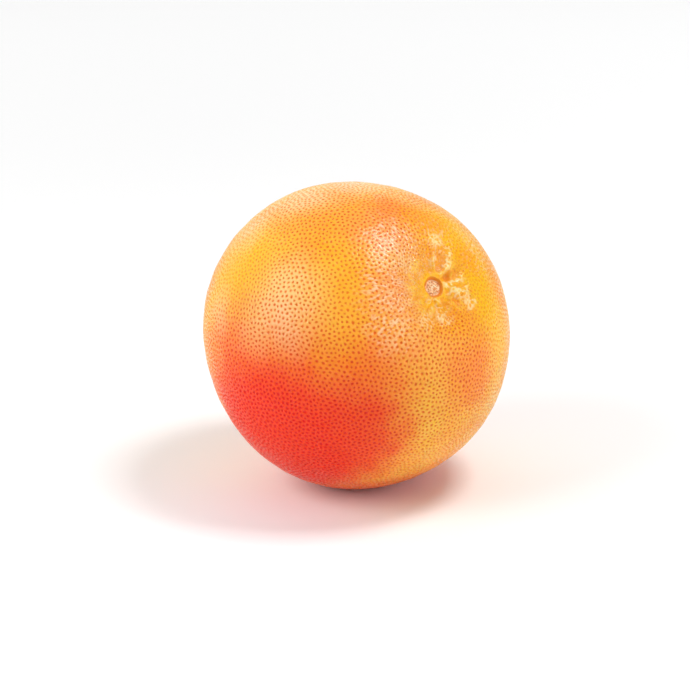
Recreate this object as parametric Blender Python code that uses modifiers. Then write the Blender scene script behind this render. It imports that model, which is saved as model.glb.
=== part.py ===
"""A whole grapefruit lying on its side, its stem end turned up and forward, on a small flat spot.

Metres, +Z up. The stem end faces -Y, and the origin is the middle of the fruit's footprint.
"""

import math

import bmesh
import bpy
from mathutils import Matrix, Vector
from mathutils.bvhtree import BVHTree

# Body
FRUIT_WIDTH = 0.1054  # across the equator
FRUIT_HEIGHT = 0.0985  # along the axis from stem end to blossom end, before their hollows
OUTLINE_POWER = 2.08  # 2 gives an ellipse, more a squarer outline

# Where the body grew a little flatter: degrees down from the stem end, degrees round the axis, and depth
FLATTER_PLACES = (
    (64, 70, 0.0013),
    (136, 176, 0.0012),
    (58, -36, 0.0006),
    (108, 18, 0.0006),
    (96, -84, 0.0007),
)
FLATTER_SPREAD = math.radians(20)

# Stem end: a wide hollow, and in it the round scar that the stalk left
STEM_HOLLOW_DEPTH = 0.0034
STEM_HOLLOW_SPREAD = 0.0085
SCAR_RADIUS = 0.0035
SCAR_WALL_WIDTH = 0.0010  # the sloping wall between the scar's rim and its floor
SCAR_DEPTH = 0.0015

# Furrows that fan out from the scar: degrees round the axis, share of the full depth
FURROWS = ((15, 1.0), (47, 0.7), (80, 0.45), (130, 0.4), (190, 0.35), (245, 0.55), (284, 0.6), (314, 0.8))
FURROW_DEPTH = 0.0013
FURROW_SPREAD = math.radians(8.5)
FURROW_RUN_IN = 0.0040  # from the scar's rim to where they are deepest
FURROW_LENGTH = 0.0155  # from the scar's rim to where they fade out

# Blossom end: a shallow hollow round the scar of the style
BLOSSOM_HOLLOW_DEPTH = 0.0009
BLOSSOM_HOLLOW_SPREAD = 0.0045

# How it lies
STEM_RISE = math.radians(35)  # the stem end's axis above the horizontal
REST_SPOT_REACH = 0.0065  # how far the small flat reaches, at the least, round the point below the middle
REST_SPOT_PROBES = 8

# Fineness of the faceted surface
TURN_STEPS = 72
SCAR_WALL_RINGS = 3
STEM_HOLLOW_RINGS = 10
BODY_RINGS = 26
BODY_START = 0.0165  # distance from the axis where the evenly spaced body rings begin
WELD = 0.00005
CUT_SNAP = 0.0000005

PEEL_COLOUR = (0.90, 0.36, 0.05, 1.0)
PEEL_ROUGHNESS = 0.35


def clear_scene():
    for old in list(bpy.data.objects):
        bpy.data.objects.remove(old)


def smooth_step(low, high, value):
    share = min(1.0, max(0.0, (value - low) / (high - low)))
    return share * share * (3 - 2 * share)


def bell(distance, spread):
    return math.exp(-0.5 * (distance / spread) ** 2)


def outline_angle(distance):
    """The outline's own angle at a distance on the stem half: 0 at the stem end, pi at the blossom end."""
    return math.asin((2 * distance / FRUIT_WIDTH) ** (OUTLINE_POWER / 2))


def outline_point(angle):
    """Distance from the axis and height of the body without its hollows, for an angle from outline_angle."""
    across, along = math.sin(angle), math.cos(angle)
    distance = FRUIT_WIDTH / 2 * max(across, 0.0) ** (2 / OUTLINE_POWER)
    height = FRUIT_HEIGHT / 2 * math.copysign(abs(along) ** (2 / OUTLINE_POWER), along)
    return distance, height


def stem_hollow(distance):
    scar = SCAR_DEPTH * (1 - smooth_step(SCAR_RADIUS - SCAR_WALL_WIDTH, SCAR_RADIUS, distance))
    return STEM_HOLLOW_DEPTH * bell(distance, STEM_HOLLOW_SPREAD) + scar


def blossom_hollow(distance):
    return BLOSSOM_HOLLOW_DEPTH * bell(distance, BLOSSOM_HOLLOW_SPREAD)


def stem_distances():
    """Distances from the axis of the closely spaced rings: the scar's floor and wall, then the hollow."""
    floor = SCAR_RADIUS - SCAR_WALL_WIDTH
    wall = [floor + SCAR_WALL_WIDTH * ring / SCAR_WALL_RINGS for ring in range(SCAR_WALL_RINGS)]
    growth = (BODY_START / SCAR_RADIUS) ** (1 / STEM_HOLLOW_RINGS)
    return [floor / 2] + wall + [SCAR_RADIUS * growth**ring for ring in range(STEM_HOLLOW_RINGS)]


def body_profile():
    """The turned outline from the stem end to the blossom end, on the +X side of the axis."""
    first = outline_angle(BODY_START)
    angles = [0.0] + [outline_angle(distance) for distance in stem_distances()]
    angles += [first + (math.pi - first) * ring / BODY_RINGS for ring in range(BODY_RINGS)]
    angles += [(angles[-1] + math.pi) / 2, math.pi]
    points = []
    for angle in angles:
        distance, height = outline_point(angle)
        sunk = stem_hollow(distance) if height > 0 else -blossom_hollow(distance)
        points.append((distance, 0.0, height - sunk))
    return points


def turn(points):
    """The profile turned once round Z, as a closed mesh."""
    line = bpy.data.meshes.new("profile")
    line.from_pydata(points, [(n, n + 1) for n in range(len(points) - 1)], [])
    guide = bpy.data.objects.new("profile", line)
    bpy.context.scene.collection.objects.link(guide)
    screw = guide.modifiers.new("turn", "SCREW")
    screw.axis = "Z"
    screw.steps = screw.render_steps = TURN_STEPS
    screw.use_merge_vertices = True
    screw.merge_threshold = WELD
    graph = bpy.context.evaluated_depsgraph_get()
    turned = bpy.data.meshes.new_from_object(guide.evaluated_get(graph))
    bpy.data.objects.remove(guide)
    return turned


def furrow_depth(point):
    """How deep the furrows cut at a point of the stem half."""
    from_rim = math.hypot(point.x, point.y) - SCAR_RADIUS
    reach = smooth_step(0, FURROW_RUN_IN, from_rim) - smooth_step(FURROW_RUN_IN, FURROW_LENGTH, from_rim)
    if point.z < 0 or reach == 0:
        return 0.0
    deepest = 0.0
    for degrees, share in FURROWS:
        away = math.remainder(math.atan2(point.y, point.x) - math.radians(degrees), 2 * math.pi)
        deepest = max(deepest, share * bell(away, FURROW_SPREAD))
    return FURROW_DEPTH * reach * deepest


def flatter_depth(point):
    """How far the flatter places pull a point of the body in."""
    way = point.normalized()
    depth = 0.0
    for down, around, deepest in FLATTER_PLACES:
        down, around = math.radians(down), math.radians(around)
        across = math.sin(down)
        place = Vector((across * math.cos(around), across * math.sin(around), math.cos(down)))
        depth += deepest * bell(way.angle(place), FLATTER_SPREAD)
    return depth


def grow(mesh):
    """Gives the turned body its furrows and its flatter places."""
    for vertex in mesh.vertices:
        furrow = furrow_depth(vertex.co)
        vertex.co -= vertex.co.normalized() * flatter_depth(vertex.co)
        vertex.co.z -= furrow


def rest_height(solid):
    """The height of a flat that reaches far enough all round the point below the fruit's middle."""
    tree = BVHTree.FromBMesh(solid)
    heights = []
    for probe in range(REST_SPOT_PROBES):
        around = 2 * math.pi * probe / REST_SPOT_PROBES
        start = (REST_SPOT_REACH * math.cos(around), REST_SPOT_REACH * math.sin(around), -FRUIT_WIDTH)
        heights.append(tree.ray_cast(start, (0, 0, 1))[0].z)
    return max(heights)


def settle(mesh):
    """Leans the fruit over, flattens the spot that it rests on, and stands it on z = 0."""
    mesh.transform(Matrix.Rotation(math.pi / 2 - STEM_RISE, 4, "X"))
    solid = bmesh.new()
    solid.from_mesh(mesh)
    floor = rest_height(solid)
    cut = bmesh.ops.bisect_plane(
        solid,
        geom=solid.verts[:] + solid.edges[:] + solid.faces[:],
        dist=CUT_SNAP,
        plane_co=(0, 0, floor),
        plane_no=(0, 0, 1),
        clear_inner=True,
    )
    rim = [part for part in cut["geom_cut"] if isinstance(part, bmesh.types.BMEdge)]
    bmesh.ops.edgeloop_fill(solid, edges=rim)
    bmesh.ops.recalc_face_normals(solid, faces=solid.faces[:])
    solid.to_mesh(mesh)
    solid.free()
    across = [vertex.co.x for vertex in mesh.vertices]
    along = [vertex.co.y for vertex in mesh.vertices]
    middle = (max(across) + min(across)) / 2, (max(along) + min(along)) / 2
    mesh.transform(Matrix.Translation((-middle[0], -middle[1], -floor)))


def peel_material():
    peel = bpy.data.materials.new("peel")
    peel.use_nodes = True
    shader = peel.node_tree.nodes["Principled BSDF"]
    shader.inputs["Base Color"].default_value = PEEL_COLOUR
    shader.inputs["Roughness"].default_value = PEEL_ROUGHNESS
    shader.inputs["Metallic"].default_value = 0.0
    return peel


def build():
    clear_scene()
    collection = bpy.data.collections.new("grapefruit")
    bpy.context.scene.collection.children.link(collection)
    mesh = turn(body_profile())
    mesh.name = "grapefruit"
    grow(mesh)
    settle(mesh)
    mesh.shade_smooth()
    mesh.materials.clear()
    mesh.materials.append(peel_material())
    collection.objects.link(bpy.data.objects.new("grapefruit", mesh))


build()
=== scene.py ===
import math

import bpy
import numpy as np
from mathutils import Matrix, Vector, geometry, noise


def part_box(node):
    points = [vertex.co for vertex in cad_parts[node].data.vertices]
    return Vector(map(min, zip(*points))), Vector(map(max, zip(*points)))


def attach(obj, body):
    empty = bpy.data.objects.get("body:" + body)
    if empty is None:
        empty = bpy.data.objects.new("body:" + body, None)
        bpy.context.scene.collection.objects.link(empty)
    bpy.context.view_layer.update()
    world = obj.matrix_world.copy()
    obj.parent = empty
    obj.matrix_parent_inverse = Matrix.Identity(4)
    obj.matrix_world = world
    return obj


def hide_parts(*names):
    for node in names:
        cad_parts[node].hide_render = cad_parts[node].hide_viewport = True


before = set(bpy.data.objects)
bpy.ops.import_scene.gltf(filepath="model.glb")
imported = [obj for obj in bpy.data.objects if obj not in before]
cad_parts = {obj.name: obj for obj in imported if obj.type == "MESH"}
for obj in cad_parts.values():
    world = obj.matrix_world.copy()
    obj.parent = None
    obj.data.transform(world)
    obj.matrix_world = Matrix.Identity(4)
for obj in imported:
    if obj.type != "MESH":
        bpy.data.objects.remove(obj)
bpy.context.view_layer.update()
fruitLow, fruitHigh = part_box("grapefruit")
fruitMiddle = (fruitLow + fruitHigh) / 2
print("frame: the fruit is", [round(1000 * side, 1) for side in fruitHigh - fruitLow], "mm")


# small helpers: soft steps and bells on arrays, and nodes that take their inputs when they are made

def smoothStep(low, high, values):
    share = np.clip((values - low) / (high - low), 0, 1)
    return share * share * (3 - 2 * share)


def bell(distance, spread):
    return np.exp(-0.5 * (distance / spread) ** 2)


def addNode(tree, kind, inputs=None, **settings):
    made = tree.nodes.new(kind)
    for name, value in settings.items():
        setattr(made, name, value)
    for key, value in (inputs or {}).items():
        if isinstance(value, bpy.types.NodeSocket):
            tree.links.new(value, made.inputs[key])
        else:
            made.inputs[key].default_value = value
    return made


def mathNode(tree, operation, first, second=0.0):
    return addNode(tree, "ShaderNodeMath", {0: first, 1: second}, operation=operation).outputs[0]


def vectorNode(tree, operation, first, second=(0.0, 0.0, 0.0)):
    made = addNode(tree, "ShaderNodeVectorMath", {0: first, 1: second}, operation=operation)
    return made.outputs["Value" if operation in ("LENGTH", "DISTANCE", "DOT_PRODUCT") else "Vector"]


def newTree(name, kind, inputs, outputs):
    tree = bpy.data.node_groups.new(name, kind)
    for label, socketKind in inputs:
        tree.interface.new_socket(label, in_out="INPUT", socket_type=socketKind)
    for label, socketKind in outputs:
        tree.interface.new_socket(label, in_out="OUTPUT", socket_type=socketKind)
    return tree, tree.nodes.new("NodeGroupInput"), tree.nodes.new("NodeGroupOutput")


# where the oil glands sit: points spread over a ball whose +Z is the stem end

glands = {
    "spacing": 0.00169,  # between neighbours over the body
    "stemSpacing": 0.00122,  # between neighbours in the furrowed hollow
    "stemReach": 0.0150,  # how far from the axis the closer spacing reaches
    "scarReach": 0.0045,  # inside this, no glands but fine points for the scar
    "scarPoints": 330,
    "packing": 0.74,  # smallest gap as a share of the spacing
    "relaxRounds": 5,
    "seed": 7,
    "ballSteps": 6,  # how finely the ball that carries the points is divided
    "crowd": 9.0,  # points tried for each square of the smallest gap
    "wantedGap": 1.22,  # the gap a gland steps towards, against the smallest gap
    "stepShare": 0.5,  # how much of the missing gap one step takes
    "netTolerance": 1e-7,
    "ring": 0.40,  # the dimple's edge, as a share of the way to the next gland
    "depth": 0.00030,
    "depthFade": (0.002, 0.016),  # the mouths deepen over this distance from the axis
    "smallest": 0.70,  # size of the faintest gland against the largest
    "sizeOdds": (1.6, 1.3),  # leans the sizes a little towards the large end
    "scarFade": (-0.0002, 0.0012),  # the glands grow to full size over this, from scarReach
}


def glandTree():
    tree, given, result = newTree(
        "glandPlaces", "GeometryNodeTree",
        [("Gland Gap", "NodeSocketFloat"), ("Stem Gap", "NodeSocketFloat"),
         ("Stem Zone", "NodeSocketFloat"), ("Scar Zone", "NodeSocketFloat"),
         ("Scar Angle", "NodeSocketFloat"), ("Scar Points", "NodeSocketInt"),
         ("Relax Rounds", "NodeSocketInt"), ("Seed", "NodeSocketInt"), ("Finish", "NodeSocketMaterial")],
        [("Geometry", "NodeSocketGeometry")])
    tree.is_modifier = True
    ball = addNode(tree, "GeometryNodeMeshIcoSphere", {"Radius": 1.0, "Subdivisions": glands["ballSteps"]})
    position = tree.nodes.new("GeometryNodeInputPosition").outputs[0]
    height = addNode(tree, "ShaderNodeSeparateXYZ", {0: position}).outputs["Z"]
    nearStem = mathNode(tree, "GREATER_THAN", height, given.outputs["Stem Zone"])
    onBody = mathNode(tree, "SUBTRACT", 1.0, nearStem)
    offScar = mathNode(tree, "LESS_THAN", height, given.outputs["Scar Zone"])
    inHollow = mathNode(tree, "MULTIPLY", nearStem, offScar)

    def spread(gap, where, seedStep):
        crowd = mathNode(tree, "DIVIDE", glands["crowd"], mathNode(tree, "MULTIPLY", gap, gap))
        seed = mathNode(tree, "ADD", given.outputs["Seed"], seedStep)
        return addNode(tree, "GeometryNodeDistributePointsOnFaces", {
            "Mesh": ball.outputs["Mesh"], "Selection": where, "Distance Min": gap,
            "Density Max": crowd, "Seed": seed}, distribute_method="POISSON").outputs["Points"]

    bodyGlands = spread(given.outputs["Gland Gap"], onBody, 0)
    hollowGlands = spread(given.outputs["Stem Gap"], inHollow, 1)
    together = addNode(tree, "GeometryNodeJoinGeometry")
    for points in (bodyGlands, hollowGlands):
        tree.links.new(points, together.inputs[0])

    # each round, a gland steps away from its nearest neighbour if that is too close
    start = tree.nodes.new("GeometryNodeRepeatInput")
    end = tree.nodes.new("GeometryNodeRepeatOutput")
    start.pair_with_output(end)
    tree.links.new(given.outputs["Relax Rounds"], start.inputs["Iterations"])
    tree.links.new(together.outputs[0], start.inputs["Geometry"])
    nearest = tree.nodes.new("GeometryNodeIndexOfNearest").outputs["Index"]
    neighbour = addNode(tree, "GeometryNodeFieldAtIndex", data_type="FLOAT_VECTOR", domain="POINT")
    tree.links.new(nearest, neighbour.inputs["Index"])
    tree.links.new(position, neighbour.inputs["Value"])
    apart = vectorNode(tree, "SUBTRACT", position, neighbour.outputs[0])
    gapHere = addNode(tree, "ShaderNodeMix", {
        0: nearStem, 2: given.outputs["Gland Gap"], 3: given.outputs["Stem Gap"]},
        data_type="FLOAT").outputs[0]
    wanted = mathNode(tree, "MULTIPLY", gapHere, glands["wantedGap"])
    missing = mathNode(tree, "SUBTRACT", wanted, vectorNode(tree, "LENGTH", apart))
    short = mathNode(tree, "MAXIMUM", missing, 0.0)
    step = addNode(tree, "ShaderNodeVectorMath", {
        0: vectorNode(tree, "NORMALIZE", apart),
        3: mathNode(tree, "MULTIPLY", short, glands["stepShare"])}, operation="SCALE")
    moved = vectorNode(tree, "NORMALIZE", vectorNode(tree, "ADD", position, step.outputs["Vector"]))
    shift = addNode(tree, "GeometryNodeSetPosition", {
        "Geometry": start.outputs["Geometry"], "Position": moved})
    tree.links.new(shift.outputs[0], end.inputs["Geometry"])

    # the scar's fine points run out from the axis in a sunflower spiral
    index = tree.nodes.new("GeometryNodeInputIndex").outputs[0]
    share = mathNode(tree, "DIVIDE", mathNode(tree, "ADD", index, 0.5), given.outputs["Scar Points"])
    fromAxis = mathNode(tree, "MULTIPLY", mathNode(tree, "SQRT", share), given.outputs["Scar Angle"])
    turn = mathNode(tree, "MULTIPLY", index, math.pi * (3 - math.sqrt(5)))
    across = mathNode(tree, "SINE", fromAxis)
    spot = addNode(tree, "ShaderNodeCombineXYZ", {
        "X": mathNode(tree, "MULTIPLY", across, mathNode(tree, "COSINE", turn)),
        "Y": mathNode(tree, "MULTIPLY", across, mathNode(tree, "SINE", turn)),
        "Z": mathNode(tree, "COSINE", fromAxis)})
    scarPoints = addNode(tree, "GeometryNodePoints", {
        "Count": given.outputs["Scar Points"], "Position": spot.outputs[0]})

    everything = addNode(tree, "GeometryNodeJoinGeometry")
    for points in (end.outputs["Geometry"], scarPoints.outputs[0]):
        tree.links.new(points, everything.inputs[0])
    corners = addNode(tree, "GeometryNodePointsToVertices", {"Points": everything.outputs[0]})
    realized = addNode(tree, "GeometryNodeRealizeInstances", {"Geometry": corners.outputs[0]})
    finished = addNode(tree, "GeometryNodeSetMaterial", {
        "Geometry": realized.outputs[0], "Material": given.outputs["Finish"]})
    tree.links.new(finished.outputs[0], result.inputs[0])
    return tree


def turnedToMesh(name, tree, values):
    holder = bpy.data.objects.new(name, bpy.data.meshes.new(name))
    bpy.context.scene.collection.objects.link(holder)
    modifier = holder.modifiers.new(name, "NODES")
    modifier.node_group = tree
    for socket in tree.interface.items_tree:
        if socket.item_type == "SOCKET" and socket.in_out == "INPUT":
            modifier[socket.identifier] = values[socket.name]
    graph = bpy.context.evaluated_depsgraph_get()
    made = bpy.data.meshes.new_from_object(holder.evaluated_get(graph))
    bpy.data.objects.remove(holder)
    return made


def spreadGlands(finish):
    radius = fruit["width"] / 2
    made = turnedToMesh("glandPlaces", glandTree(), {
        "Gland Gap": glands["packing"] * glands["spacing"] / radius,
        "Stem Gap": glands["packing"] * glands["stemSpacing"] / radius,
        "Stem Zone": math.cos(glands["stemReach"] / radius),
        "Scar Zone": math.cos(glands["scarReach"] / radius),
        "Scar Angle": glands["scarReach"] / radius,
        "Scar Points": glands["scarPoints"],
        "Relax Rounds": glands["relaxRounds"],
        "Seed": glands["seed"],
        "Finish": finish})
    places = np.empty(3 * len(made.vertices))
    made.vertices.foreach_get("co", places)
    bpy.data.meshes.remove(made)
    places = places.reshape(-1, 3)
    return places / np.linalg.norm(places, axis=1)[:, None]


def joinNeighbours(ways):
    # a flat Delaunay net of the ball seen from its blossom end, closed there by one last point
    flat = ways[:, :2] / (1 + ways[:, 2:])
    net = geometry.delaunay_2d_cdt([Vector(point) for point in flat], [], [], 0, glands["netTolerance"])
    kept = np.array([sources[0] for sources in net[3]])
    triangles = kept[np.array(net[2])]
    sides = np.concatenate([triangles[:, [0, 1]], triangles[:, [1, 2]], triangles[:, [2, 0]]])
    known = {tuple(side) for side in sides.tolist()}
    rim = [side for side in known if (side[1], side[0]) not in known]
    blossom = len(ways)
    closing = np.array([(b, a, blossom) for a, b in sorted(rim)])
    return np.vstack([ways, [0, 0, -1]]), np.vstack([triangles, closing])


def openGlands(ways, triangles):
    # each net edge gets a point near both its ends: small faces round each gland, one broad face between
    sides = np.concatenate([triangles[:, [0, 1]], triangles[:, [1, 2]], triangles[:, [2, 0]]])
    low, high = sides.min(axis=1), sides.max(axis=1)
    edges, which = np.unique(np.stack([low, high], axis=1), axis=0, return_inverse=True)
    which = which.reshape(3, -1).T  # edge from corner n to corner n + 1 of each triangle
    share = glands["ring"]
    nearLow = ways[edges[:, 0]] * (1 - share) + ways[edges[:, 1]] * share
    nearHigh = ways[edges[:, 1]] * (1 - share) + ways[edges[:, 0]] * share
    rings = np.stack([nearLow, nearHigh], axis=1).reshape(-1, 3)
    points = np.vstack([ways, rings / np.linalg.norm(rings, axis=1)[:, None]])
    owner = np.concatenate([np.arange(len(ways)), edges.reshape(-1)])

    def near(corner, side):
        return len(ways) + 2 * which[:, side] + (edges[which[:, side], 1] == triangles[:, corner])

    corners = np.concatenate([
        np.stack([triangles[:, c], near(c, c), near(c, (c + 2) % 3)], axis=1) for c in range(3)])
    middles = np.stack([near(0, 0), near(1, 0), near(1, 1), near(2, 1), near(2, 2), near(0, 2)], axis=1)
    return points, corners.tolist() + middles.tolist(), owner


# the fruit's shape: the CAD body's own figures, worked out for every fine point

fruit = {
    "width": 0.1054, "height": 0.0985, "outlinePower": 2.08, "stemRise": 35,
    # flatter places: degrees down from the stem end, degrees round the axis, depth
    "flatterPlaces": [(64, 70, 0.0013), (136, 176, 0.0012), (58, -36, 0.0006), (108, 18, 0.0006),
                      (96, -84, 0.0007)],
    "flatterSpread": 20,
    "hollowDepth": 0.0034, "hollowSpread": 0.0085,
    "blossomDepth": 0.0009, "blossomSpread": 0.0045,
    # the small dry mark at the blossom end: radius, rise, spread of the rise against the radius
    "blossomMark": 0.0017, "markDepth": 0.0004, "markSpread": 0.6,
    "waveDepth": 0.00015, "waveSize": 0.0060,  # slow unevenness of the peel
    "grainDepth": 0.00003, "grainSize": 0.0011,
    "restBlend": 0.0003,  # how softly the resting flat runs into the round
    "farAway": 1.0,  # stands for the distance from an end on the other half of the fruit
    "mostPlaces": 12,  # distances in scar or mark radii go no higher than this
}

scar = {
    "radius": 0.0035, "wallWidth": 0.0007, "depth": 0.0011,
    "thinWallAt": 8, "thinning": 0.5,  # degrees round the axis where the wall is thinnest, and by how much
    "dome": 0.0005,  # the cork floor's rise in its middle
    "lipHeight": 0.00012, "lipWidth": 0.0005,
    "oval": 0.05, "ovalTurn": 0.7, "lobes": 5, "lobeDepth": 0.025,  # how the edge leaves a circle
    "lipOutside": 0.0002,
    "roughness": 0.00012, "crumbSize": 0.0007,
    "pitCount": 16, "pitRing": 0.0019, "pitDepth": 0.00022,
    "innerPits": 5, "innerRing": 0.42, "innerTurn": 1.26,  # the few pits inside the ring
    "pitEdge": 0.45,  # how much of a pit's colour its edge takes
}

furrows = {
    # degrees round the axis, share of the full depth
    "places": [(15, 1.0), (47, 0.7), (80, 0.45), (130, 0.4), (190, 0.35), (245, 0.55), (284, 0.6),
               (314, 0.8)],
    "depth": 0.0016, "spread": 8.0, "runIn": 0.0035, "length": 0.0155,
}

# folds that wander out from the scar
wrinkles = {
    # ridges, then smaller worms: height, width on the circle, length to width, reach
    "layers": [(0.00028, 0.0050, 1.9, 0.021), (0.00014, 0.0030, 1.3, 0.023)],
    "circle": 0.010, "middle": 0.004, "innermost": 0.001,
    "wanderSize": 2.2, "wander": 1.6, "folds": 9,
    "fadeIn": 0.0015,
    "fadeOut": 0.45,  # the folds start to fade at this share of their reach
}


# the offset picks another stretch of the same noise
def noiseAt(points, size, offset):
    return np.array([noise.noise(Vector(point) / size + offset) for point in points])


def furrowCut(distance, around):
    fromRim = distance - scar["radius"]
    reach = smoothStep(0, furrows["runIn"], fromRim)
    reach = reach - smoothStep(furrows["runIn"], furrows["length"], fromRim)
    cut = np.zeros(len(distance))
    for degrees, share in furrows["places"]:
        away = (around - math.radians(degrees) + math.pi) % (2 * math.pi) - math.pi
        cut = np.maximum(cut, share * bell(away, math.radians(furrows["spread"])))
    return reach * cut


def bodyShape(ways):
    power = 2 / fruit["outlinePower"]
    across, along = np.hypot(ways[:, 0], ways[:, 1]), ways[:, 2]
    distance = fruit["width"] / 2 * across**power
    height = fruit["height"] / 2 * np.sign(along) * np.abs(along) ** power
    around = np.arctan2(ways[:, 1], ways[:, 0])
    stemSide = height > 0
    height -= np.where(stemSide, fruit["hollowDepth"] * bell(distance, fruit["hollowSpread"]), 0)
    height += np.where(stemSide, 0, fruit["blossomDepth"] * bell(distance, fruit["blossomSpread"]))
    points = np.stack([distance * np.cos(around), distance * np.sin(around), height], axis=1)
    outward = points / np.linalg.norm(points, axis=1)[:, None]
    flatter = np.zeros(len(ways))
    for down, turn, depth in fruit["flatterPlaces"]:
        down, turn = math.radians(down), math.radians(turn)
        place = np.array([math.sin(down) * math.cos(turn), math.sin(down) * math.sin(turn), math.cos(down)])
        apart = np.arccos(np.clip(outward @ place, -1, 1))
        flatter += depth * bell(apart, math.radians(fruit["flatterSpread"]))
    points -= outward * flatter[:, None]
    nearStem = np.where(stemSide, distance, fruit["farAway"])
    cut = furrowCut(nearStem, around)
    points[:, 2] -= furrows["depth"] * cut
    return points, nearStem, around, cut


def scarEdge(around):
    oval = scar["oval"] * np.sin(2 * around + scar["ovalTurn"])
    return scar["radius"] * (1 + oval + scar["lobeDepth"] * np.sin(scar["lobes"] * around))


def corkEdge(around):
    thinner = scar["thinning"] * np.cos(around - math.radians(scar["thinWallAt"]))
    return scarEdge(around) - scar["wallWidth"] * (1 - thinner)


def scarShape(distance, around, points):
    # depth below the hollow: a lip, a steep wall and a slightly domed, rough floor
    edge, floorEdge = scarEdge(around), corkEdge(around)
    wall = 1 - smoothStep(floorEdge, edge, distance)
    lip = scar["lipHeight"] * bell(distance - edge - scar["lipOutside"], scar["lipWidth"])
    dome = scar["dome"] * np.clip(1 - (distance / floorEdge) ** 2, 0, 1)
    crumbs = scar["roughness"] * noiseAt(points, scar["crumbSize"], Vector((3, 1, 4)))
    return wall * (scar["depth"] - dome + crumbs) - lip


def corkPits(distance, around):
    # the scar points nearest to a ring of evenly turned spots, and a few near the middle
    spots = [(scar["pitRing"], 2 * math.pi * n / scar["pitCount"]) for n in range(scar["pitCount"])]
    spots += [(scar["pitRing"] * scar["innerRing"], scar["innerTurn"] * n) for n in range(scar["innerPits"])]
    chosen = []
    for reach, turn in spots:
        away = np.hypot(distance * np.cos(around) - reach * math.cos(turn),
                        distance * np.sin(around) - reach * math.sin(turn))
        chosen.append(int(np.argmin(away)))
    return chosen


def wrinkleShape(distance, around):
    # worked out on a cone round the scar, so that each layer grows outwards with its distance
    total = np.zeros(len(distance))
    for layer, (height, width, stretch, reach) in enumerate(wrinkles["layers"]):
        turns = wrinkles["circle"] / width
        outward = np.log(np.maximum(distance, wrinkles["innermost"]) / wrinkles["middle"])
        run = turns / stretch * outward
        spots = np.stack([turns * np.cos(around), turns * np.sin(around), run], axis=1)
        wander = noiseAt(spots, wrinkles["wanderSize"], Vector((9, 2 + layer, 6)))
        lumps = noiseAt(spots + wander[:, None] * wrinkles["wander"], 1.0, Vector((5, 8, 1 + layer)))
        fade = smoothStep(scar["radius"], scar["radius"] + wrinkles["fadeIn"], distance)
        fade *= 1 - smoothStep(wrinkles["fadeOut"] * reach, reach, distance)
        total += height * fade * np.cos(wrinkles["folds"] * lumps)
    return total


def leanOver(points):
    tilt = math.radians(90 - fruit["stemRise"])
    y, z = points[:, 1].copy(), points[:, 2].copy()
    points[:, 1] = y * math.cos(tilt) - z * math.sin(tilt)
    points[:, 2] = y * math.sin(tilt) + z * math.cos(tilt)
    return points


def settle(points):
    # moves the fruit to the CAD body's place: the same middle from above, and the same top
    low, high = points.min(axis=0), points.max(axis=0)
    shift = np.array([fruitMiddle.x - (low[0] + high[0]) / 2, fruitMiddle.y - (low[1] + high[1]) / 2,
                      fruitHigh.z - high[2]])
    return points + shift


def pressFlat(points):
    # whatever hangs below the CAD body's resting flat is pressed level with it
    blend = fruit["restBlend"]
    above = points[:, 2] - fruitLow.z
    soft = (above + blend) ** 2 / (4 * blend)
    points[:, 2] = fruitLow.z + np.where(above > blend, above, np.where(above < -blend, 0, soft))
    return points


def makeFruit(finish):
    ways, triangles = joinNeighbours(spreadGlands(finish))
    ways, faces, owner = openGlands(ways, triangles)
    glandCount = owner.max() + 1
    isMouth = np.arange(len(ways)) < glandCount
    points, distance, around, cut = bodyShape(ways)
    print("glands:", glandCount, "points:", len(ways))

    ridge = wrinkleShape(distance, around)
    points[:, 2] += ridge - np.where(distance < fruit["farAway"], scarShape(distance, around, points), 0)
    fromBlossom = np.where(ways[:, 2] < 0, np.hypot(ways[:, 0], ways[:, 1]) * fruit["width"] / 2,
                           fruit["farAway"])
    points[:, 2] += fruit["markDepth"] * bell(fromBlossom, fruit["markSpread"] * fruit["blossomMark"])
    pits = np.isin(owner, corkPits(distance[:glandCount], around[:glandCount]))
    points[:, 2] -= scar["pitDepth"] * pits * isMouth
    points = settle(leanOver(points))

    mesh = bpy.data.meshes.new("grapefruit")
    mesh.from_pydata(points, [], faces)
    mesh.update()
    normals = np.empty(3 * len(points))
    mesh.vertex_normals.foreach_get("vector", normals)
    normals = normals.reshape(-1, 3)

    # one size and one tone for each gland, shared by its ring
    dice = np.random.default_rng(glands["seed"])
    size = glands["smallest"] + (1 - glands["smallest"]) * dice.beta(*glands["sizeOdds"], glandCount)
    tone = dice.random(glandCount)
    fadeFrom, fadeTo = (glands["scarReach"] + step for step in glands["scarFade"])
    size *= smoothStep(fadeFrom, fadeTo, distance[:glandCount])
    depth = glands["depth"] * size[owner] * isMouth * smoothStep(*glands["depthFade"], distance)
    waves = fruit["waveDepth"] * noiseAt(points, fruit["waveSize"], Vector((1, 7, 2)))
    grain = fruit["grainDepth"] * noiseAt(points, fruit["grainSize"], Vector((4, 4, 8)))
    points = pressFlat(points + normals * (waves + grain - depth)[:, None])
    mesh.vertices.foreach_set("co", points.ravel())
    mesh.update()
    mesh.shade_smooth()
    most = fruit["mostPlaces"]
    masks = {"mouth": isMouth * (size[owner] > 0), "size": size[owner], "tone": tone[owner],
             "scarPlace": np.minimum(distance / scarEdge(around), most), "furrow": cut,
             "corkPlace": np.minimum(distance / corkEdge(around), most),
             "blossomPlace": np.minimum(fromBlossom / fruit["blossomMark"], most),
             "ridge": ridge / wrinkles["layers"][0][0],
             "corkPit": pits * np.where(isMouth, 1.0, scar["pitEdge"])}
    for name, values in masks.items():
        layer = mesh.attributes.new(name, "FLOAT", "POINT")
        layer.data.foreach_set("value", values.astype(np.float32))
    mesh.materials.append(finish)
    piece = bpy.data.objects.new("wholeFruit", mesh)
    bpy.context.scene.collection.objects.link(piece)
    return piece


# the peel's finish

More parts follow.
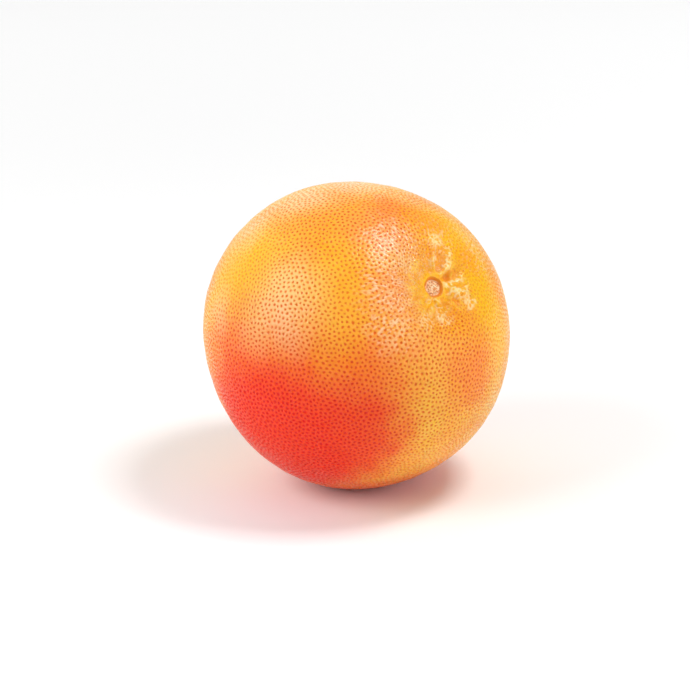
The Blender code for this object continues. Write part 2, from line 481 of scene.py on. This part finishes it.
peel = {
    # the pale tone is painted highlight
    "amber": (0.88, 0.41, 0.034, 1), "orange": (0.88, 0.31, 0.018, 1), "paleHighlight": (0.91, 0.51, 0.14, 1),
    "gold": (0.89, 0.44, 0.001, 1), "deepGold": (0.91, 0.31, 0.001, 1),
    "salmon": (0.89, 0.26, 0.055, 1), "redOrange": (0.87, 0.11, 0.003, 1),
    # the deep red is partly the peel's own blush and partly painted shade and painted red reflected light
    "blushAndShade": (0.80, 0.006, 0.001, 1), "creamHighlight": (0.90, 0.50, 0.20, 1),
    # the pale colour for the wrinkles beside the scar is painted highlight
    "hollow": (0.95, 0.44, 0.001, 1), "ridgeTop": (0.97, 0.64, 0.06, 1), "wormHighlight": (1.00, 0.80, 0.40, 1),
    # the fleck colour is painted highlight
    "fleckHighlight": (1.00, 0.71, 0.45, 1), "furrowCore": (0.84, 0.22, 0.002, 1),
    "blossomMark": (0.42, 0.19, 0.06, 1),
    "freckle": (0.96, 0.86, 0.70, 1),  # what a freckle multiplies the ground by
    "mouth": (0.83, 0.32, 0.03, 1),  # the same for a gland's mouth
    "net": (1.03, 1.22, 1.60, 1),  # the same for the paler net between the mouths
    "redNet": (0.92, 0.10, 0.002, 1), "redMouth": (0.74, 0.004, 0.001, 1),  # both, as they are on red skin
    "goldMouths": 0.5,  # how much of the mouths shows on the gold patches
    # how much of each colour shows where its mask is full
    "furrowAmount": 0.9, "ridgeAmount": 0.4, "wormHighlightAmount": 0.75, "fleckHighlightAmount": 0.75,
    "redNetAmount": 0.45, "redMouthAmount": 0.6, "redOrangeShare": 0.4,
    # a gland's dot: its edge, how far a large gland moves the edge out, softness
    "dotEdge": 0.68, "dotGrowth": 0.32, "dotSoftness": 0.28,
    # how far an edge wanders, in metres or in scar radii
    "patchWander": 0.014, "wormWander": 0.006, "fleckWander": 0.010,
    "haloWander": 1.2, "markWander": 0.8, "rimWander": 0.10, "corkWander": 0.12,
    "streakTurns": 26.0, "streakRun": 13.0, "streakDetail": 2.0,
    "patchCloud": (110.0, 5.0, 0.62),  # scale, detail and roughness of the noise that moves a patch's edge
    "cloudRoughness": 0.6,
    "roughness": 0.28, "roughnessSpread": 0.05, "mattRoughness": 0.75, "mattMouths": 0.6,
    "ior": 1.32, "waxWeight": 0.22, "waxRoughness": 0.11, "wormWax": 0.06, "goldDullness": 0.7,
    "glow": 0.05, "glowReach": 0.0012,
    "grainDepth": 0.00013, "streakDepth": 0.00009, "wormDepth": 0.00003, "pitDepth": 0.00012,
    "cork": (0.95, 0.70, 0.42, 1), "corkShade": (0.74, 0.26, 0.07, 1), "corkPit": (0.36, 0.06, 0.008, 1),
    "wall": (0.80, 0.24, 0.015, 1), "rim": (0.66, 0.18, 0.012, 1),
}

# soft noise over the peel: size of its lumps in metres, detail
clouds = {
    "ground": (0.016, 4.0), "gold": (0.0055, 3.0), "freckles": (0.0024, 3.0), "halo": (0.004, 3.0),
    "wormsAndHighlight": (0.0025, 1.0), "crumbs": (0.0008, 3.0), "gloss": (0.003, 3.0), "grain": (0.0011, 2.0),
}

# a soft step: a value's two ends, then the amount at each end, 0 and 1 if not given
fades = {
    "orangeInAmber": (0.36, 0.66), "goldClouds": (0.50, 0.66, 0.0, 0.30), "freckles": (0.50, 0.75, 0.0, 0.35),
    "halo": (1.8, 4.2, 0.9, 0.0), "low": (-0.95, -0.2, 0.55, 0.0), "furrowCore": (0.45, 0.95, 0.0, 0.45),
    "ridgeTop": (0.35, 1.0), "ridgeReach": (2.5, 4.5, 1.0, 0.0),
    "wormLines": (0.0, 0.11, 1.0, 0.0), "offFurrow": (0.25, 0.6, 1.0, 0.0),
    "streakStart": (1.3, 2.0), "streakEnd": (7.0, 10.5, 1.0, 0.0), "streakLumps": (0.50, 0.66),
    "toneShare": (0.0, 1.0, 0.75, 1.0), "mouthsByScar": (1.5, 4.5, 0.15, 1.0),
    "mouthsInWorms": (0.2, 0.9, 1.0, 0.35), "mouthsInFlecks": (0.0, 0.8, 1.0, 0.3),
    "net": (0.0, 0.3, 0.8, 0.0), "dullWax": (0.0, 1.0, 1.0, 0.3),
    "markRing": (1.2, 3.0, 0.5, 0.0), "mark": (1.1, 1.5, 0.9, 0.0),
    "corkCrumbs": (0.38, 0.56), "corkPits": (0.25, 0.8), "corkFloor": (1.0, 1.12, 1.0, 0.0),
    "rim": (1.06, 1.18, 0.75, 0.0), "wall": (0.98, 1.06, 1.0, 0.0), "mattScar": (1.02, 1.12, 1.0, 0.0),
    "gloss": (0.3, 0.7),
}

# patches of colour in millimetres: middle, radius, softness, then how much of the colour
patches = {
    # painted highlight: pale patches where the broad highlights of the lamps fall
    "paleHighlight": [((-43, -14, 76), 13, 10, 0.9), ((-17, -38, 77), 8, 7, 0.5), ((-8, -28, 91), 9, 6, 0.6)],
    "gold": [((-40, 14, 81), 15, 12, 0.95), ((-44, 8, 77), 8, 7, 0.6), ((17, -28, 88), 13, 6, 1.0),
             ((21, -35, 79), 13, 6, 1.0), ((20, -42, 69), 11, 7, 0.9), ((-28, -30, 81), 7, 7, 0.5),
             ((-26, -23, 88), 8, 8, 0.3), ((-6, -41, 75), 7, 6, 0.5), ((24, -44, 57), 9, 9, 0.7),
             ((8, 41, 78), 18, 14, 0.8), ((44, 12, 70), 16, 12, 0.7), ((-22, 46, 50), 14, 12, 0.5)],
    "orange": [((-44, -17, 60), 22, 14, 0.7), ((-24, -41, 62), 18, 12, 0.9), ((-16, -3, 100), 14, 12, 0.6),
               ((1, -32, 88), 5, 5, 0.7), ((33, -32, 73), 9, 7, 0.7), ((1, -48, 62), 12, 8, 0.9),
               ((-7, -19, 98), 13, 8, 0.9), ((-32, -31, 74), 12, 10, 0.5), ((28, 38, 55), 20, 14, 0.8)],
    # partly the peel's pinker tone and partly painted highlight haze, where the broad highlights fall
    "salmon": [((-16, -37, 80), 9, 7, 0.7), ((-24, -43, 63), 8, 6, 0.5), ((-9, -24, 94), 10, 8, 0.7),
               ((-51, 4, 62), 9, 8, 0.6), ((-46, -20, 64), 10, 9, 0.4), ((38, 8, 84), 10, 8, 0.4),
               ((-32, 38, 66), 12, 10, 0.5)],
    # the low red-orange patches are partly painted shade, darker towards the bottom
    "redOrange": [((-48, -12, 32), 34, 12, 1.0), ((-42, -28, 42), 18, 11, 0.7), ((6, -51, 50), 11, 8, 0.4),
                  ((-34, -36, 48), 16, 11, 0.7),
                  ((-51, 11, 54), 10, 8, 0.5), ((2, -16, 99), 5, 5, 0.4), ((36, 29, 34), 26, 14, 0.9)],
    # partly the peel's blush and partly painted shade, deep red towards the bottom and under the fruit, with
    # painted red reflected light
    "blushAndShade": [((-47, -14, 26), 28, 10, 1.0), ((-36, -34, 32), 20, 10, 0.8), ((28, 24, 16), 22, 14, 0.9),
              ((0, 0, 0), 32, 14, 0.8)],
    "deepGold": [((8, -22, 94), 8, 6, 0.8), ((4, -33, 86), 7, 5, 0.7), ((2, -46, 67), 8, 5, 0.6),
                 ((18, -33, 82), 6, 5, 0.7)],
    # painted highlight and painted reflection: cream patches in the broad highlight and along the top and
    # left rim
    "creamHighlight": [((-46, -17, 68), 8, 7, 0.4), ((-50, -9, 66), 8, 6, 0.35), ((2, 6, 102), 9, 7, 0.55),
              ((-15, 8, 99), 9, 7, 0.5), ((-31, 18, 91), 7, 6, 0.4), ((-50, 14, 68), 6, 5, 0.4)],
}

# patches where fine glossy wrinkles crowd together, their pale lines painted highlight
wormAndHighlightPatches = [((9, -39, 76), 4.5, 2.0, 1.0), ((9, -34, 83), 2.4, 1.2, 1.0), ((11, -33, 86), 2.0, 1.0, 1.0),
               ((8, -29, 90), 3.0, 1.6, 1.0), ((3.6, -33, 85), 2.0, 1.2, 0.8),
               ((12, -43, 71), 2.4, 1.5, 0.9), ((-3, -41, 72), 3.0, 1.6, 0.9),
               ((-1, -44, 70), 3.4, 1.6, 0.9), ((-8, -44, 70), 3.0, 2.0, 0.7), ((-3, -35, 82), 1.4, 0.9, 0.7),
               ((-8, -31, 88), 3.5, 3.0, 0.4), ((-17, -38, 77), 6.0, 5.0, 0.35),
               ((-21, -42, 69), 6.0, 5.0, 0.35), ((24, -24, 82), 6.0, 4.0, 0.5)]

# patches of short pale flecks that point at the scar: painted highlight, glints on fine ridges
fleckHighlightPatches = [((-8, -26, 93), 10, 5, 0.9), ((-17, -35, 81), 9, 6, 0.7), ((9, -29, 90), 7, 5, 0.6),
                ((-22, -40, 71), 9, 6, 0.5), ((24, -30, 80), 8, 6, 0.5), ((-3, -35, 81), 6, 3, 0.8),
                ((3, -33, 84), 5, 3, 0.7)]


def patchGroup():
    tree, given, result = newTree(
        "softPatch", "ShaderNodeTree",
        [("Middle", "NodeSocketVector"), ("Radius", "NodeSocketFloat"), ("Softness", "NodeSocketFloat"),
         ("Amount", "NodeSocketFloat"), ("Wander", "NodeSocketFloat")],
        [("Mask", "NodeSocketFloat")])
    place = tree.nodes.new("ShaderNodeTexCoord").outputs["Object"]
    scale, detail, roughness = peel["patchCloud"]
    cloud = addNode(tree, "ShaderNodeTexNoise", {
        "Vector": place, "Scale": scale, "Detail": detail, "Roughness": roughness})
    distance = vectorNode(tree, "DISTANCE", place, given.outputs["Middle"])
    balanced = mathNode(tree, "SUBTRACT", cloud.outputs["Fac"], 0.5)
    offset = mathNode(tree, "MULTIPLY", balanced, given.outputs["Wander"])
    wandered = mathNode(tree, "ADD", distance, offset)
    edge = addNode(tree, "ShaderNodeMapRange", {
        "Value": wandered,
        "From Min": mathNode(tree, "SUBTRACT", given.outputs["Radius"], given.outputs["Softness"]),
        "From Max": mathNode(tree, "ADD", given.outputs["Radius"], given.outputs["Softness"]),
        "To Min": given.outputs["Amount"], "To Max": 0.0}, interpolation_type="SMOOTHSTEP")
    tree.links.new(edge.outputs[0], result.inputs[0])
    return tree


def mixColour(tree, share, first, second, blend="MIX"):
    made = addNode(tree, "ShaderNodeMix", {0: share, 6: first, 7: second}, data_type="RGBA",
                   blend_type=blend)
    return made.outputs[2]


def steps(tree, value, low, high, fromLow=0.0, toHigh=1.0):
    return addNode(tree, "ShaderNodeMapRange", {
        "Value": value, "From Min": low, "From Max": high, "To Min": fromLow, "To Max": toHigh},
        interpolation_type="SMOOTHSTEP").outputs[0]


def attribute(tree, name):
    return addNode(tree, "ShaderNodeAttribute", attribute_name=name).outputs["Fac"]


def stemStreaks(tree, place, scarPlace):
    # fine lumps that point at the scar, in a noise that turns round the stem axis
    turned = addNode(tree, "ShaderNodeVectorRotate", {
        "Vector": place, "Center": fruitMiddle, "Axis": (1, 0, 0),
        "Angle": math.radians(fruit["stemRise"] - 90)}, rotation_type="AXIS_ANGLE").outputs[0]
    flat = vectorNode(tree, "MULTIPLY", vectorNode(tree, "SUBTRACT", turned, fruitMiddle), (1.0, 1.0, 0.0))
    distance = vectorNode(tree, "LENGTH", flat)
    run = mathNode(tree, "MULTIPLY", mathNode(tree, "LOGARITHM", distance, math.e), peel["streakRun"])
    ring = addNode(tree, "ShaderNodeVectorMath", {
        0: vectorNode(tree, "NORMALIZE", flat), 3: peel["streakTurns"]}, operation="SCALE").outputs[0]
    spots = vectorNode(tree, "ADD", ring, addNode(tree, "ShaderNodeCombineXYZ", {"Z": run}).outputs[0])
    lumps = addNode(tree, "ShaderNodeTexNoise", {
        "Vector": spots, "Scale": 1.0, "Detail": peel["streakDetail"]}).outputs["Fac"]
    near = steps(tree, scarPlace, *fades["streakStart"])
    far = steps(tree, scarPlace, *fades["streakEnd"])
    zone = mathNode(tree, "MULTIPLY", near, far)
    return mathNode(tree, "MULTIPLY", zone, steps(tree, lumps, *fades["streakLumps"]))


def peelFinish():
    material = bpy.data.materials.new("peel")
    material.use_nodes = True
    tree = material.node_tree
    shader = tree.nodes["Principled BSDF"]
    place = tree.nodes.new("ShaderNodeTexCoord").outputs["Object"]
    group = patchGroup()

    def cloud(name):
        size, detail = clouds[name]
        return addNode(tree, "ShaderNodeTexNoise", {
            "Vector": place, "Scale": 1 / size, "Detail": detail,
            "Roughness": peel["cloudRoughness"]}).outputs["Fac"]

    def fade(value, name):
        return steps(tree, value, *fades[name])

    def times(first, second):
        return mathNode(tree, "MULTIPLY", first, second)

    def patchMask(spots, wander):
        mask = None
        for middle, radius, softness, amount in spots:
            spot = addNode(tree, "ShaderNodeGroup", node_tree=group)
            spot.inputs["Middle"].default_value = [side / 1000 for side in middle]
            spot.inputs["Radius"].default_value = radius / 1000
            spot.inputs["Softness"].default_value = softness / 1000
            spot.inputs["Amount"].default_value = amount
            spot.inputs["Wander"].default_value = wander
            mask = spot.outputs[0] if mask is None else mathNode(tree, "MAXIMUM", mask, spot.outputs[0])
        return mask

    ground = mixColour(tree, fade(cloud("ground"), "orangeInAmber"), peel["amber"], peel["orange"])
    ground = mixColour(tree, fade(cloud("gold"), "goldClouds"), ground, peel["gold"])
    masks = {name: patchMask(spots, peel["patchWander"]) for name, spots in patches.items()}
    # the pale and cream patches paint highlight, the salmon patches partly, and the blush and the low
    # red-orange patches partly paint shade
    for name, mask in masks.items():
        ground = mixColour(tree, mask, ground, peel[name])
    ground = mixColour(tree, fade(cloud("freckles"), "freckles"), ground, peel["freckle"], "MULTIPLY")

    # the hollow: gold round the scar; deeper orange in the furrows and deeper gold in the low places are
    # painted shade; paler along the ridges is painted highlight
    scarPlace, furrow, ridge = (attribute(tree, name) for name in ("scarPlace", "furrow", "ridge"))
    haloPlace = mathNode(tree, "ADD", scarPlace, times(cloud("halo"), peel["haloWander"]))
    ground = mixColour(tree, fade(haloPlace, "halo"), ground, peel["hollow"])
    ground = mixColour(tree, times(furrow, peel["furrowAmount"]), ground, peel["orange"])
    ground = mixColour(tree, fade(ridge, "low"), ground, peel["deepGold"])
    ground = mixColour(tree, fade(furrow, "furrowCore"), ground, peel["furrowCore"])
    ridgeTops = times(fade(ridge, "ridgeTop"), fade(scarPlace, "ridgeReach"))
    ground = mixColour(tree, times(ridgeTops, peel["ridgeAmount"]), ground, peel["ridgeTop"])

    # small glossy wrinkles beside the scar: the lines where a noise crosses its middle value, painted pale as
    # highlight; the same lines also lift the bump
    lines = mathNode(tree, "ABSOLUTE", mathNode(tree, "SUBTRACT", cloud("wormsAndHighlight"), 0.5))
    wormAndHighlightZone = patchMask(wormAndHighlightPatches, peel["wormWander"])
    wormsAndHighlight = times(times(fade(lines, "wormLines"), wormAndHighlightZone), fade(furrow, "offFurrow"))
    ground = mixColour(tree, times(wormsAndHighlight, peel["wormHighlightAmount"]), ground, peel["wormHighlight"])

    # painted highlight: pale flecks that point at the scar, glints on fine ridges
    streaks = stemStreaks(tree, place, scarPlace)
    fleckHighlights = times(streaks, patchMask(fleckHighlightPatches, peel["fleckWander"]))
    ground = mixColour(tree, times(fleckHighlights, peel["fleckHighlightAmount"]), ground, peel["fleckHighlight"])

    # the gland mouths: soft dots in a deeper, redder tone of the ground, and a paler net between them
    mouth, size, tone = (attribute(tree, name) for name in ("mouth", "size", "tone"))
    dotEdge = mathNode(tree, "SUBTRACT", peel["dotEdge"], times(size, peel["dotGrowth"]))
    dots = addNode(tree, "ShaderNodeMapRange", {
        "Value": mouth, "From Min": mathNode(tree, "SUBTRACT", dotEdge, peel["dotSoftness"]),
        "From Max": mathNode(tree, "ADD", dotEdge, peel["dotSoftness"])},
        interpolation_type="SMOOTHSTEP").outputs[0]
    onGold = addNode(tree, "ShaderNodeMapRange", {
        "Value": masks["gold"], "To Min": 1.0, "To Max": peel["goldMouths"]}).outputs[0]
    strength = times(fade(tone, "toneShare"), onGold)
    strength = times(strength, fade(scarPlace, "mouthsByScar"))
    # the mouths fade under the painted highlights of the wrinkles and flecks
    strength = times(strength, fade(wormAndHighlightZone, "mouthsInWorms"))
    strength = times(strength, fade(fleckHighlights, "mouthsInFlecks"))
    net = fade(mouth, "net")
    colour = mixColour(tree, times(net, strength), ground,
                       mixColour(tree, 1.0, ground, peel["net"], "MULTIPLY"))
    colour = mixColour(tree, times(dots, strength), colour,
                       mixColour(tree, 1.0, ground, peel["mouth"], "MULTIPLY"))
    # the red zone is partly blush and partly painted shade towards the bottom
    onRed = mathNode(tree, "MAXIMUM", masks["blushAndShade"], times(masks["redOrange"], peel["redOrangeShare"]))
    colour = mixColour(tree, times(times(net, onRed), peel["redNetAmount"]), colour, peel["redNet"])
    colour = mixColour(tree, times(times(dots, onRed), peel["redMouthAmount"]), colour, peel["redMouth"])

    # the blossom end: a small dry mark in a paler ring
    crumbs = cloud("crumbs")
    markPlace = mathNode(tree, "ADD", attribute(tree, "blossomPlace"), times(crumbs, peel["markWander"]))
    colour = mixColour(tree, fade(markPlace, "markRing"), colour, peel["ridgeTop"])
    colour = mixColour(tree, fade(markPlace, "mark"), colour, peel["blossomMark"])

    # the scar: a brown rim, an orange wall, and a pale cork floor with small brown pits
    cork = mixColour(tree, fade(crumbs, "corkCrumbs"), peel["corkShade"], peel["cork"])
    cork = mixColour(tree, fade(attribute(tree, "corkPit"), "corkPits"), cork, peel["corkPit"])
    rimPlace = mathNode(tree, "ADD", scarPlace, times(crumbs, peel["rimWander"]))
    colour = mixColour(tree, fade(rimPlace, "rim"), colour, peel["rim"])
    colour = mixColour(tree, fade(rimPlace, "wall"), colour, peel["wall"])
    corkPlace = mathNode(tree, "ADD", attribute(tree, "corkPlace"), times(crumbs, peel["corkWander"]))
    colour = mixColour(tree, fade(corkPlace, "corkFloor"), colour, cork)

    # the mouths are hollow, so they shine less than the net between them
    matt = mathNode(tree, "MAXIMUM", fade(rimPlace, "mattScar"), times(dots, peel["mattMouths"]))
    gloss = steps(tree, cloud("gloss"), *fades["gloss"], peel["roughness"] - peel["roughnessSpread"],
                  peel["roughness"] + peel["roughnessSpread"])
    roughness = addNode(tree, "ShaderNodeMix", {0: matt, 2: gloss, 3: peel["mattRoughness"]},
                        data_type="FLOAT").outputs[0]
    waxHere = mathNode(tree, "ADD", peel["waxWeight"], times(wormAndHighlightZone, peel["wormWax"]))
    dull = mathNode(tree, "MAXIMUM", onRed, times(masks["gold"], peel["goldDullness"]))
    wax = times(mathNode(tree, "SUBTRACT", 1.0, matt), times(waxHere, fade(dull, "dullWax")))

    # relief too fine for the mesh, each part as a share of the grain's depth
    depth = peel["grainDepth"]
    grain = mathNode(tree, "ADD", cloud("grain"), times(streaks, peel["streakDepth"] / depth))
    grain = mathNode(tree, "ADD", grain, times(wormsAndHighlight, peel["wormDepth"] / depth))
    pits = times(dots, times(strength, peel["pitDepth"] / depth))
    grain = mathNode(tree, "SUBTRACT", grain, pits)
    bump = addNode(tree, "ShaderNodeBump", {"Height": grain, "Strength": 1.0, "Distance": depth})
    tree.links.new(colour, shader.inputs["Base Color"])
    tree.links.new(roughness, shader.inputs["Roughness"])
    tree.links.new(wax, shader.inputs["Coat Weight"])
    tree.links.new(bump.outputs[0], shader.inputs["Normal"])
    shader.inputs["IOR"].default_value = peel["ior"]
    shader.inputs["Coat Roughness"].default_value = peel["waxRoughness"]
    shader.inputs["Subsurface Weight"].default_value = peel["glow"]
    shader.inputs["Subsurface Scale"].default_value = peel["glowReach"]
    return material


# floor, light and camera

studio = {
    "floorRadius": 4.0, "floorTone": 0.965, "floorSides": 96, "floorRoughness": 0.8, "floorGloss": 0.1,
    "farGlow": (0.22, 0.80, 0.24),  # the floor keeps its white as it runs away: from here, to here, this much
    # the white room is brightest behind the fruit, and fades over this much of the turn to it
    "frontTone": 0.34, "backTone": 1.34, "backAzimuth": 166, "backFade": (0.3, 0.95),
    # each light: azimuth and elevation round the fruit, distance, width, height, watts
    "lights": {"leftBox": (-106, 33, 0.9, 0.48, 0.60, 4.4), "backBox": (48, 65, 0.9, 0.28, 0.28, 4.1),
               "rightFill": (24, 12, 1.3, 1.0, 1.0, 5.6)},
}

lens = {
    "azimuth": -41.1, "elevation": 20, "distance": 0.9,
    "length": 139, "sensor": 36,  # millimetres
    "right": -0.0039, "up": -0.0038,
}


def backAlong(azimuth, elevation):
    turn, rise = math.radians(azimuth), math.radians(elevation)
    return Vector((math.sin(turn) * math.cos(rise), -math.cos(turn) * math.cos(rise), math.sin(rise)))


def makeFloor():
    bpy.ops.mesh.primitive_circle_add(vertices=studio["floorSides"], radius=studio["floorRadius"],
                                      fill_type="NGON", location=(0, 0, fruitLow.z))
    floor = bpy.context.object
    floor.name = "floor"
    material = bpy.data.materials.new("paleFloor")
    material.use_nodes = True
    shader = material.node_tree.nodes["Principled BSDF"]
    shader.inputs["Base Color"].default_value = (studio["floorTone"],) * 3 + (1,)
    shader.inputs["Roughness"].default_value = studio["floorRoughness"]
    shader.inputs["Specular IOR Level"].default_value = studio["floorGloss"]
    nearEdge, farEdge, glow = studio["farGlow"]
    tree = material.node_tree
    away = vectorNode(tree, "LENGTH", tree.nodes.new("ShaderNodeTexCoord").outputs["Object"])
    tree.links.new(steps(tree, away, nearEdge, farEdge, 0.0, glow), shader.inputs["Emission Color"])
    shader.inputs["Emission Strength"].default_value = 1.0
    floor.data.materials.append(material)


def makeLights():
    world = bpy.data.worlds.new("studio")
    bpy.context.scene.world = world
    world.use_nodes = True
    tree = world.node_tree
    way = tree.nodes.new("ShaderNodeTexCoord").outputs["Generated"]
    facing = vectorNode(tree, "DOT_PRODUCT", way, backAlong(studio["backAzimuth"], 0))
    tree.nodes["Background"].inputs["Color"].default_value = (1, 1, 1, 1)
    brightness = steps(tree, facing, *studio["backFade"], studio["frontTone"], studio["backTone"])
    tree.links.new(brightness, tree.nodes["Background"].inputs["Strength"])
    for name, (azimuth, elevation, distance, width, tall, watts) in studio["lights"].items():
        lamp = bpy.data.lights.new(name, "AREA")
        lamp.shape = "RECTANGLE"
        lamp.size = width
        lamp.size_y = tall
        lamp.energy = watts
        holder = bpy.data.objects.new(name, lamp)
        back = backAlong(azimuth, elevation)
        holder.location = fruitMiddle + back * distance
        holder.rotation_mode = "QUATERNION"
        holder.rotation_quaternion = (-back).to_track_quat("-Z", "Y")
        bpy.context.scene.collection.objects.link(holder)


def makeCamera():
    camera = bpy.data.objects.new("camera", bpy.data.cameras.new("camera"))
    bpy.context.scene.collection.objects.link(camera)
    back = backAlong(lens["azimuth"], lens["elevation"])
    camera.rotation_mode = "QUATERNION"
    camera.rotation_quaternion = (-back).to_track_quat("-Z", "Y")
    right = camera.rotation_quaternion @ Vector((1, 0, 0))
    up = camera.rotation_quaternion @ Vector((0, 1, 0))
    camera.location = fruitMiddle + back * lens["distance"] + right * lens["right"] + up * lens["up"]
    camera.data.lens = lens["length"]
    camera.data.sensor_width = lens["sensor"]
    bpy.context.scene.camera = camera


finish = peelFinish()
wholeFruit = makeFruit(finish)
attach(wholeFruit, "root")
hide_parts("grapefruit")
print("fruit: made with", len(wholeFruit.data.polygons), "faces")
makeFloor()
makeLights()
makeCamera()
bpy.context.scene.view_settings.view_transform = "Standard"
print("studio: ready")
